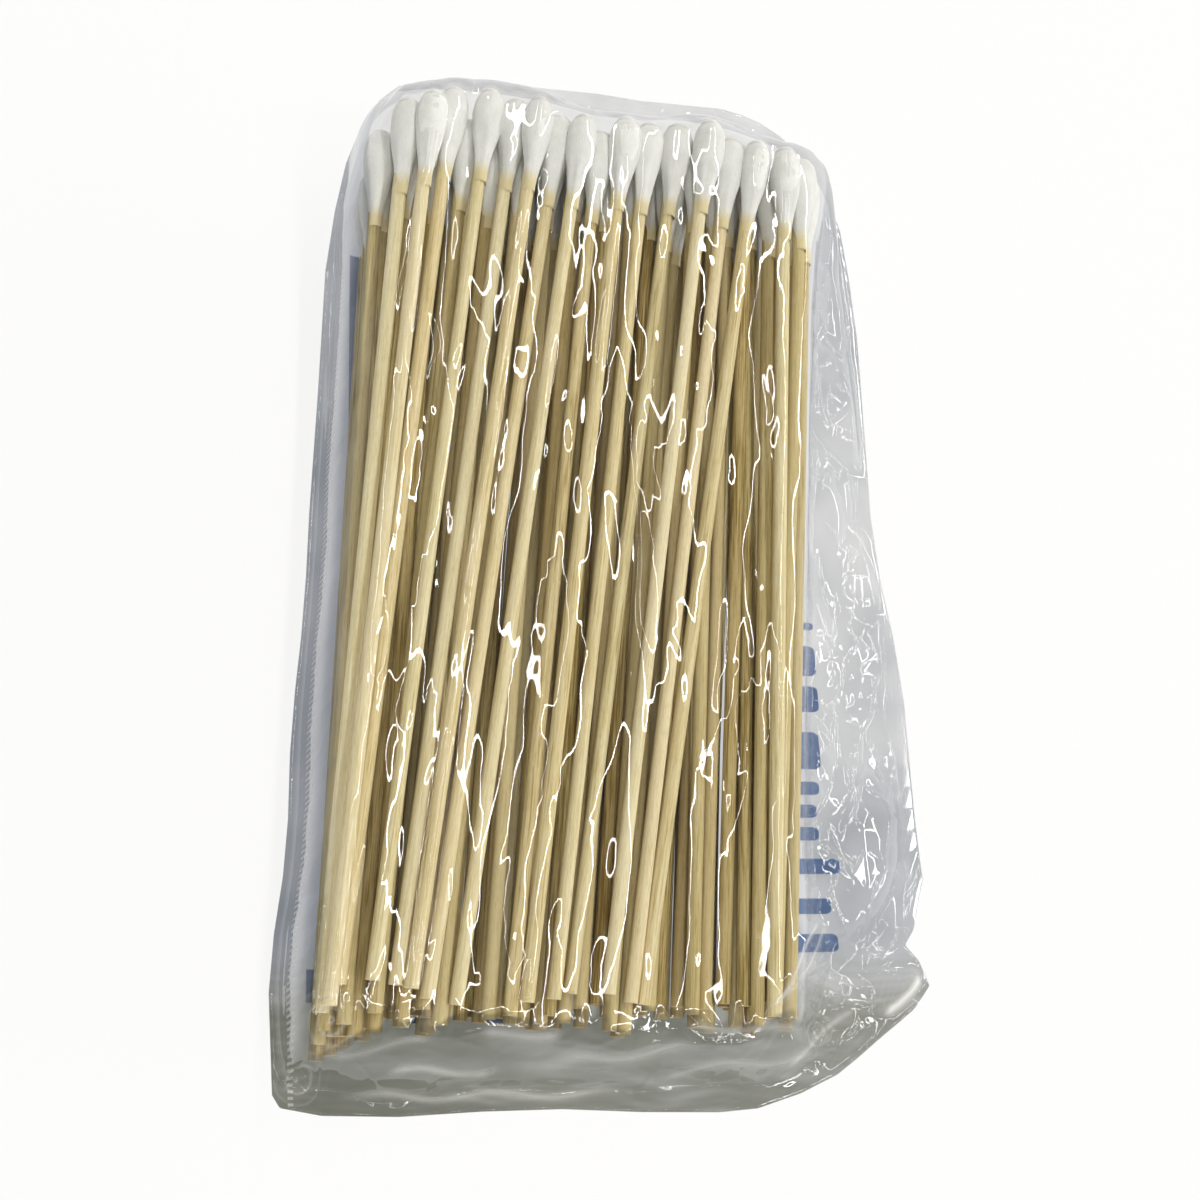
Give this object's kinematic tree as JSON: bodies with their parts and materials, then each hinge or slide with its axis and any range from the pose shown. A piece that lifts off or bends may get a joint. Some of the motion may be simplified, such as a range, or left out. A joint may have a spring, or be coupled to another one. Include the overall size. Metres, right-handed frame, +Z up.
{
  "type": "bag of cotton swabs",
  "caption": "Clear sealed film bag holding a lying bundle of long wooden swabs, each with cotton on one end.",
  "frame": {"origin": "under the middle of the bag's outline, on the plane that the bag lies on", "axes": "+X across the swabs to the right, +Y along the swabs towards the cotton tips, +Z up through the pile"},
  "size_m": [0.1084, 0.184, 0.0306],
  "materials": {
    "film": "clear thin film",
    "wood": "bare pale birch",
    "cotton": "matt wound cotton"
  },
  "bodies": {
    "root": {"bag_film": "film", "row_1_sticks": "wood", "row_2_sticks": "wood", "row_3_sticks": "wood", "row_4_sticks": "wood", "row_5_sticks": "wood", "row_1_tips": "cotton", "row_2_tips": "cotton", "row_3_tips": "cotton", "row_4_tips": "cotton", "row_5_tips": "cotton", "swab_01_stick": "wood", "swab_02_stick": "wood", "swab_03_stick": "wood", "swab_04_stick": "wood", "swab_05_stick": "wood", "swab_06_stick": "wood", "swab_07_stick": "wood", "swab_08_stick": "wood", "swab_09_stick": "wood", "swab_10_stick": "wood", "swab_11_stick": "wood", "swab_12_stick": "wood", "swab_13_stick": "wood", "swab_14_stick": "wood", "swab_15_stick": "wood", "swab_16_stick": "wood", "swab_01_tip": "cotton", "swab_02_tip": "cotton", "swab_03_tip": "cotton", "swab_04_tip": "cotton", "swab_05_tip": "cotton", "swab_06_tip": "cotton", "swab_07_tip": "cotton", "swab_08_tip": "cotton", "swab_09_tip": "cotton", "swab_10_tip": "cotton", "swab_11_tip": "cotton", "swab_12_tip": "cotton", "swab_13_tip": "cotton", "swab_14_tip": "cotton", "swab_15_tip": "cotton", "swab_16_tip": "cotton"}
  },
  "joints": []
}
